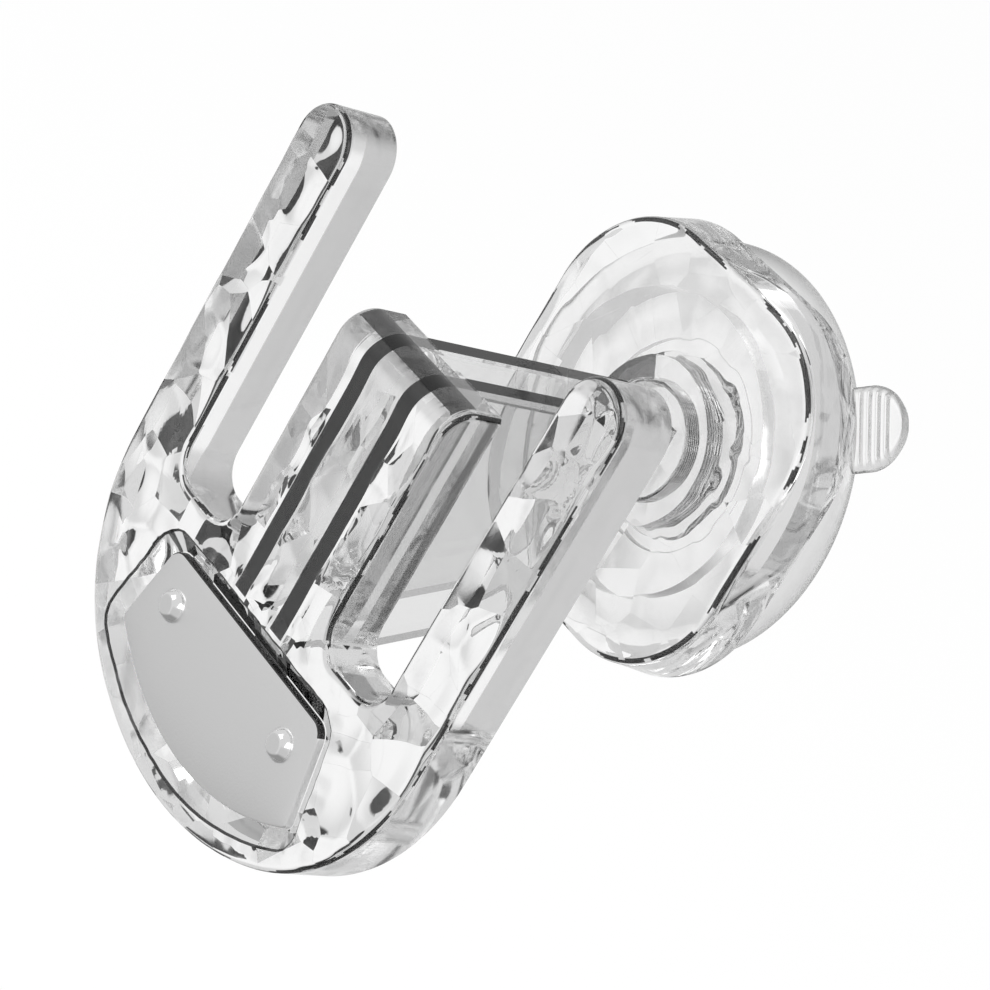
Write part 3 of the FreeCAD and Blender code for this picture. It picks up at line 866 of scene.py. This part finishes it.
def build_rivet(side, material):
    skin = Skin()
    front = POCKET_FLOOR + BADGE_THICKNESS
    centre_x = side * RIVET_X
    rings = []
    for radius, height in RIVET_SECTION:
        loop = ring_points(radius, front + height, RIVET_COUNT)
        rings.append(skin.add([(x + centre_x, y, z + RIVET_Z) for x, y, z in loop]))
    skin.fan(rings[0], at(centre_x, front + RIVET_SECTION[0][1], RIVET_Z))
    for first, second in zip(rings, rings[1:]):
        skin.strip(first, second, closed=True)
    skin.fan(rings[-1], at(centre_x, front + RIVET_SECTION[-1][1], RIVET_Z))
    name = "rivet_head_" + ("left" if side < 0 else "right")
    return make_object(skin, name, [material], smooth_angle=35.0)


def grey(level):
    return (level, level, level, 1)


def new_material(name):
    material = bpy.data.materials.new(name)
    material.use_nodes = True
    material.node_tree.nodes.clear()
    return material, material.node_tree


def shaded(name, sockets):
    """Material of one shader, its sockets set to the given values."""
    material, tree = new_material(name)
    out = tree.nodes.new("ShaderNodeOutputMaterial")
    body = tree.nodes.new("ShaderNodeBsdfPrincipled")
    for socket, value in sockets.items():
        body.inputs[socket].default_value = value
    tree.links.new(body.outputs[0], out.inputs["Surface"])
    return material


def clear_plastic(name, level=1.0, ior=1.49, roughness=0.0, gloss=0.5):
    return shaded(name, {"Base Color": grey(level), "Transmission Weight": 1.0, "IOR": ior,
                         "Roughness": roughness, "Specular IOR Level": gloss})


def solid_plastic(name, level, roughness, gloss):
    return shaded(name, {"Base Color": grey(level), "Roughness": roughness,
                         "Specular IOR Level": gloss})


def metal(name, level, roughness):
    return shaded(name, {"Base Color": grey(level), "Metallic": 1.0, "Roughness": roughness})


def shader_of(material):
    return next(n for n in material.node_tree.nodes if n.type == "BSDF_PRINCIPLED")


def maths(tree, operation, first, second=None, clamp=False):
    """Output of a math node; each value is a number or another node's output."""
    node = tree.nodes.new("ShaderNodeMath")
    node.operation = operation
    node.use_clamp = clamp
    for socket, value in zip(node.inputs, (first, second)):
        if isinstance(value, (int, float)):
            socket.default_value = value
        elif value is not None:
            tree.links.new(value, socket)
    return node.outputs[0]


def map_range(tree, value, start, end):
    """Output of a node that maps one pair of numbers to another."""
    node = tree.nodes.new("ShaderNodeMapRange")
    node.inputs["From Min"].default_value, node.inputs["From Max"].default_value = start
    node.inputs["To Min"].default_value, node.inputs["To Max"].default_value = end
    tree.links.new(value, node.inputs["Value"])
    return node


def hammered_plastic(name, level, tilt, over_ribs):
    """Clear plastic whose face is broken into flat facets, each with a tilt of its own."""
    material = clear_plastic(name, level, gloss=0.1)
    tree = material.node_tree
    links = tree.links.new
    place = tree.nodes.new("ShaderNodeTexCoord")
    cells = tree.nodes.new("ShaderNodeTexVoronoi")
    cells.inputs["Scale"].default_value = FACET_SCALE
    offset = tree.nodes.new("ShaderNodeVectorMath")
    offset.operation = "SUBTRACT"
    lean = tree.nodes.new("ShaderNodeVectorMath")
    lean.operation = "MULTIPLY_ADD"
    lean.inputs[1].default_value = (2 * tilt, 2 * tilt, 2 * tilt)
    lean.inputs[2].default_value = (-tilt, -tilt, -tilt)
    plane = tree.nodes.new("ShaderNodeVectorMath")
    plane.operation = "DOT_PRODUCT"
    chance = tree.nodes.new("ShaderNodeTexWhiteNoise")
    bump = tree.nodes.new("ShaderNodeBump")
    bump.inputs["Distance"].default_value = 1.0
    links(place.outputs["Object"], cells.inputs["Vector"])
    links(place.outputs["Object"], offset.inputs[0])
    links(cells.outputs["Position"], offset.inputs[1])
    links(cells.outputs["Color"], lean.inputs[0])
    links(offset.outputs[0], plane.inputs[0])
    links(lean.outputs[0], plane.inputs[1])
    links(cells.outputs["Color"], chance.inputs["Vector"])
    relief = plane.outputs["Value"]
    if not over_ribs:
        split = tree.nodes.new("ShaderNodeSeparateXYZ")
        links(place.outputs["Object"], split.inputs[0])
        x = maths(tree, "ABSOLUTE", split.outputs["X"])
        from_rib = maths(tree, "ABSOLUTE", maths(tree, "SUBTRACT", x, RIB_MIDDLE * MM))
        beside = maths(tree, "SUBTRACT", from_rib, FACET_FREE * MM)
        below = maths(tree, "SUBTRACT", (RIB_GROOVE - GROOVE_CALM) * MM, split.outputs["Z"])
        beside = maths(tree, "MULTIPLY", beside, 1 / MM, True)
        below = maths(tree, "MULTIPLY", below, 1 / MM, True)
        relief = maths(tree, "MULTIPLY", relief, maths(tree, "MAXIMUM", beside, below))
    pick = map_range(tree, chance.outputs["Value"], FACET_CHOICE, FACET_STRENGTH)
    links(maths(tree, "MULTIPLY", relief, pick.outputs["Result"]), bump.inputs["Height"])
    links(bump.outputs[0], shader_of(material).inputs["Normal"])
    return material


def grain(material, scale, low, high, relief=0.0):
    """Fine uneven polish, and with relief a grain that can be felt, in metres."""
    tree = material.node_tree
    body = shader_of(material)
    place = tree.nodes.new("ShaderNodeTexCoord")
    noise = tree.nodes.new("ShaderNodeTexNoise")
    noise.inputs["Scale"].default_value = scale
    noise.inputs["Detail"].default_value = 4.0
    tree.links.new(place.outputs["Object"], noise.inputs["Vector"])
    spread = map_range(tree, noise.outputs["Fac"], NOISE_REACH, (low, high))
    tree.links.new(spread.outputs["Result"], body.inputs["Roughness"])
    if relief:
        bump = tree.nodes.new("ShaderNodeBump")
        bump.inputs["Distance"].default_value = relief
        tree.links.new(noise.outputs["Fac"], bump.inputs["Height"])
        tree.links.new(bump.outputs[0], body.inputs["Normal"])


# Camera at the photograph's angle, rolled as there
cam_data = bpy.data.cameras.new("camera")
cam_data.sensor_width = 36.0
cam_data.lens = 119.335
cam_data.clip_start = 0.01
camera = bpy.data.objects.new("camera", cam_data)
right = Vector((0.52035, 0.70877, 0.47632))
up = Vector((-0.57278, -0.12403, 0.81027))
ahead = Vector((-0.63338, 0.69445, -0.34143))
place = Vector((0.28311, -0.34211, 0.14001)) + right * 0.0003 - up * 0.0001
axes = Matrix((right, up, -ahead)).transposed().to_4x4()
camera.matrix_world = Matrix.Translation(place) @ axes
scene.collection.objects.link(camera)
scene.camera = camera


def softbox(name, place, size, energy):
    """Square lamp that looks at the hook."""
    data = bpy.data.lights.new(name, "AREA")
    data.size = size
    data.energy = energy
    lamp = bpy.data.objects.new(name, data)
    lamp.location = place
    look = Vector((0, -0.03, 0)) - Vector(place)
    lamp.rotation_euler = look.to_track_quat("-Z", "Y").to_euler()
    scene.collection.objects.link(lamp)


softbox("key_lamp", (-0.5, -1.0, 0.9), 0.8, 3.0)
softbox("fill_lamp", (1.0, -0.5, 0.6), 0.7, 2.0)


def mixed(tree, factor, first, second):
    """Output of a shader mix; the factor is a number or another node's output."""
    node = tree.nodes.new("ShaderNodeMixShader")
    if isinstance(factor, float):
        node.inputs[0].default_value = factor
    else:
        tree.links.new(factor, node.inputs[0])
    tree.links.new(first, node.inputs[1])
    tree.links.new(second, node.inputs[2])
    return node.outputs[0]


def build_floor():
    """Pale floor far below the hook; glass and metal see the studio through it."""
    build = bmesh.new()
    bmesh.ops.create_grid(build, x_segments=2, y_segments=2, size=FLOOR_SIZE)
    mesh = bpy.data.meshes.new("floor")
    build.to_mesh(mesh)
    build.free()
    floor = bpy.data.objects.new("floor", mesh)
    floor.location = (0, 0, FLOOR_LEVEL)
    scene.collection.objects.link(floor)
    material, tree = new_material("pale_floor")
    out = tree.nodes.new("ShaderNodeOutputMaterial")
    pale = tree.nodes.new("ShaderNodeBsdfDiffuse")
    pale.inputs["Color"].default_value = grey(FLOOR_TONE)
    white = tree.nodes.new("ShaderNodeEmission")
    white.inputs["Strength"].default_value = 1.0
    through = tree.nodes.new("ShaderNodeBsdfTransparent")
    path = tree.nodes.new("ShaderNodeLightPath")
    seen = mixed(tree, FLOOR_GLOW, pale.outputs[0], white.outputs[0])
    solid = mixed(tree, path.outputs["Is Camera Ray"], pale.outputs[0], seen)
    glossy, bent = path.outputs["Is Glossy Ray"], path.outputs["Is Transmission Ray"]
    either = maths(tree, "MAXIMUM", glossy, bent)
    tree.links.new(mixed(tree, either, solid, through.outputs[0]), out.inputs["Surface"])
    mesh.materials.append(material)


build_floor()

# White studio with grey and black flags, which clear plastic bends into sight
world = bpy.data.worlds.new("studio")
scene.world = world
world.use_nodes = True
tree = world.node_tree
tree.nodes.clear()
out = tree.nodes.new("ShaderNodeOutputWorld")
plain = tree.nodes.new("ShaderNodeBackground")
studio = tree.nodes.new("ShaderNodeBackground")
path = tree.nodes.new("ShaderNodeLightPath")
coordinate = tree.nodes.new("ShaderNodeTexCoord")
plain.inputs["Color"].default_value = grey(1)

# The studio is the same on the left and on the right
split = tree.nodes.new("ShaderNodeSeparateXYZ")
join = tree.nodes.new("ShaderNodeCombineXYZ")
tree.links.new(coordinate.outputs["Generated"], split.inputs[0])
folded = maths(tree, "MULTIPLY", maths(tree, "ABSOLUTE", split.outputs["X"]), -1.0)
tree.links.new(folded, join.inputs["X"])
tree.links.new(split.outputs["Y"], join.inputs["Y"])
tree.links.new(split.outputs["Z"], join.inputs["Z"])


def flag(centre, inner, outer, level):
    """Brightness factor of a round soft-edged flag in a direction, angles in degrees."""
    dot = tree.nodes.new("ShaderNodeVectorMath")
    dot.operation = "DOT_PRODUCT"
    dot.inputs[1].default_value = centre.normalized()
    tree.links.new(join.outputs[0], dot.inputs[0])
    reach = (math.cos(math.radians(outer)), math.cos(math.radians(inner)))
    edge = map_range(tree, dot.outputs["Value"], reach, (1.0, level))
    edge.interpolation_type = "SMOOTHSTEP"
    return edge.outputs["Result"]


def beside(tilt, turn):
    """Direction tilted off the camera's axis, turned anticlockwise from the image's right."""
    tilt, turn = math.radians(tilt), math.radians(turn)
    sideways = right * math.cos(turn) + up * math.sin(turn)
    return ahead * math.cos(tilt) + sideways * math.sin(tilt)


def multiplied(factors):
    level = factors[0]
    for factor in factors[1:]:
        level = maths(tree, "MULTIPLY", level, factor)
    return level


black_flags = [
    flag(beside(22, 150), 10.0, 11.0, 0.0),
    flag(beside(22, -30), 10.0, 11.0, 0.0),
    flag(beside(23, 60), 9.0, 10.0, 0.0),
    flag(beside(23, -110), 10.0, 11.0, 0.0),
]
soft_flags = [
    flag(-ahead, 166.0, 180.0, 0.74),
    flag(Vector((-0.6, -0.57, -0.33)), 15.0, 45.0, 0.82),
    flag(Vector((0, 0, -1)), 30.0, 55.0, 0.42),
]

# Satin walls, ribs and cup see the soft flags alone, polished faces also the black ones
polished = tree.nodes.new("ShaderNodeMix")
tree.links.new(path.outputs["Is Singular Ray"], polished.inputs[0])
polished.inputs[2].default_value = 1.0
tree.links.new(multiplied(black_flags), polished.inputs[3])
tree.links.new(multiplied([polished.outputs[0], *soft_flags]), studio.inputs["Color"])
direct = maths(tree, "MAXIMUM", path.outputs["Is Camera Ray"], path.outputs["Is Diffuse Ray"])
tree.links.new(mixed(tree, direct, studio.outputs[0], plain.outputs[0]), out.inputs["Surface"])

clear = clear_plastic("clear_acrylic", 0.97)
hammered_front = hammered_plastic("hammered_acrylic", 0.95, 0.62, False)
cover_front = hammered_plastic("rippled_acrylic", 0.97, 0.16, True)
satin_wall = clear_plastic("satin_acrylic", 0.93, roughness=0.1)
cover_wall = clear_plastic("cover_side_acrylic", roughness=0.07)
# Near-black glass that paints shade: the broken dark lines on rounded edges and round the pocket.
painted_edge_shade = clear_plastic("shaded_edge", 0.004, gloss=0.1)
# Dark glass that paints shade on the upper half of the tab's bend.
bend_shade = clear_plastic("shaded_bend", 0.03, roughness=0.15, gloss=0.3)
smoke = clear_plastic("smoked_acrylic", 0.76, roughness=0.01)
dark_edge = solid_plastic("rib_edge", 0.008, 0.12, 0.15)
badge = metal("satin_metal", 0.92, 0.35)
bright = metal("bright_metal", 0.9, 0.08)
vinyl = clear_plastic("soft_vinyl", ior=1.4)
# Dark glass that paints shade in the thread's roots.
painted_thread_shade = clear_plastic("shaded_thread", 0.05)
# Dark metal that paints shade on the badge's edges that face up.
painted_badge_shade = metal("shaded_metal", 0.06, 0.25)
grain(painted_badge_shade, 2000.0, 0.2, 0.35)
grain(satin_wall, 900.0, 0.08, 0.12)
grain(cover_wall, 900.0, 0.03, 0.1)
grain(bend_shade, 700.0, 0.1, 0.22)
grain(dark_edge, 1200.0, 0.08, 0.2)
grain(badge, 2600.0, 0.28, 0.42, 0.00002)
grain(bright, 1800.0, 0.04, 0.14)
grain(vinyl, 500.0, 0.13, 0.22, 0.00003)
grain(clear, 120.0, 0.0, 0.0, 0.0000005)
grain(smoke, 600.0, 0.01, 0.03)

fork_looks = [hammered_front, satin_wall, clear, painted_edge_shade, bend_shade]
cover_looks = [cover_front, cover_wall, clear, painted_edge_shade, bend_shade]
pieces = [
    (build_fork(fork_looks), "hook_body", "clear_acrylic"),
    (rib_shape(-1, 0.0, "rib_plate_left", [smoke, dark_edge]), "rib_left", "smoked_acrylic"),
    (rib_shape(1, 0.0, "rib_plate_right", [smoke, dark_edge]), "rib_right", "smoked_acrylic"),
    (build_badge([badge, painted_badge_shade]), "name_plate", "satin_metal"),
    (build_rivet(-1, bright), "rivet_left", "bright_metal"),
    (build_rivet(1, bright), "rivet_right", "bright_metal"),
    (build_cover(cover_looks), "base_cover", "clear_acrylic"),
    (build_stud([clear, painted_thread_shade]), "clamp_stud", "clear_acrylic"),
    (build_cup(vinyl), "suction_cup", "soft_vinyl"),
    (build_pull_tab(vinyl), "suction_cup", "soft_vinyl"),
]
for piece, node, slot in pieces:
    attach(piece, "root")
    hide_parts(node)

scene.view_settings.view_transform = "Standard"
scene.cycles.max_bounces = LIGHT_BOUNCES
scene.cycles.glossy_bounces = LIGHT_BOUNCES
scene.cycles.transmission_bounces = LIGHT_BOUNCES
